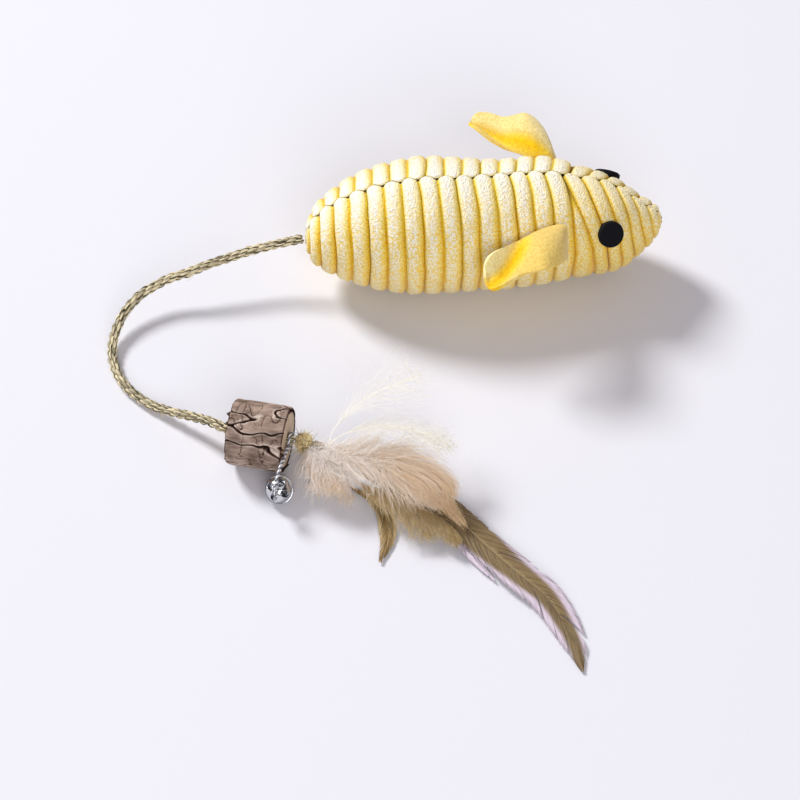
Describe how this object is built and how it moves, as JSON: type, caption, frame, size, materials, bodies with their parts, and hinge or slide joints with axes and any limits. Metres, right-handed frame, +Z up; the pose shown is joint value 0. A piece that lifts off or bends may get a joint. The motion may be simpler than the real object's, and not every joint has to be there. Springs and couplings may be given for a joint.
{
  "type": "plush mouse cat toy",
  "caption": "Stuffed corduroy mouse with felt ears and a rope tail that carries a bored branch bead, a jingle bell on a cord and a bunch of feathers.",
  "frame": {"origin": "on the floor under the middle of the stuffed body, halfway from tail exit to nose", "axes": "+X to the mouse's nose, +Y to the mouse's left, +Z up from the floor it lies on"},
  "size_m": [0.1741, 0.1929, 0.0426],
  "materials": {
    "corduroy": "cut pile, cream on the crests and gold in the grooves",
    "fill": "loose white fibre",
    "felt": "soft matt felt",
    "eye": "matt black",
    "hemp": "twisted dry fibre",
    "wood": "raw end grain",
    "bark": "rough cracked bark",
    "silver": "polished",
    "tinsel": "metallised twisted thread",
    "thread": "waxed thread",
    "feather": "satin barbs",
    "pink_down": "soft down",
    "cream_down": "soft down",
    "olive_down": "soft down"
  },
  "bodies": {
    "mouse": {"body_shell_left": "corduroy", "body_shell_right": "corduroy", "stuffing": "fill", "eye_left": "eye", "eye_right": "eye", "tail_anchor_knot": "hemp"},
    "ear_left_leaf": {"ear_left": "felt"},
    "ear_right_leaf": {"ear_right": "felt"},
    "tail": {"tail_rope": "hemp", "end_knot": "hemp"},
    "bead": {"bead_wood": "wood", "bead_bark": "bark"},
    "bell": {"bell_crown_shell": "silver", "bell_bowl_shell": "silver", "bell_shank": "silver", "bell_cord": "tinsel"},
    "pellet": {"bell_pellet": "silver"},
    "feathers": {"quill_whipping": "thread", "feather_long": "feather", "feather_second": "feather", "feather_hackle": "feather", "plume_pink": "pink_down", "plume_white": "cream_down", "plume_olive": "olive_down", "plume_cream": "cream_down", "plume_cream_fan": "cream_down"}
  },
  "joints": [
    {"name": "ear_left_flap", "type": "hinge", "parent": "mouse", "child": "ear_left_leaf", "pos_m": [0.02386, 0.01567, 0.02695], "axis": [0, -0.4305, 0.9026], "range_deg": [-35, 0], "stiffness_Nm_per_rad": 0.001},
    {"name": "ear_right_flap", "type": "hinge", "parent": "mouse", "child": "ear_right_leaf", "pos_m": [0.02386, -0.01567, 0.02695], "axis": [0, 0.4305, 0.9026], "range_deg": [0, 35], "stiffness_Nm_per_rad": 0.001},
    {"name": "tail_swing", "type": "hinge", "parent": "mouse", "child": "tail", "pos_m": [-0.05645, 0, 0.01699], "axis": [0, 0, 1], "range_deg": [-30, 30]},
    {"name": "bead_spin", "type": "hinge", "parent": "tail", "child": "bead", "pos_m": [-0.07169, -0.0728, 0.01], "axis": [0.9659, -0.2588, 0], "continuous": true},
    {"name": "bell_swing", "type": "hinge", "parent": "tail", "child": "bell", "pos_m": [-0.06276, -0.07519, 0.01], "axis": [-0.9659, 0.2588, 0], "range_deg": [0, 110]},
    {"name": "pellet_rattle", "type": "slide", "parent": "bell", "child": "pellet", "axis": [0, 0, 1], "range_m": [0, 0.0035]},
    {"name": "feather_swing", "type": "hinge", "parent": "tail", "child": "feathers", "pos_m": [-0.05894, -0.07622, 0.01], "axis": [0, 0, 1], "range_deg": [-4, 20]}
  ]
}
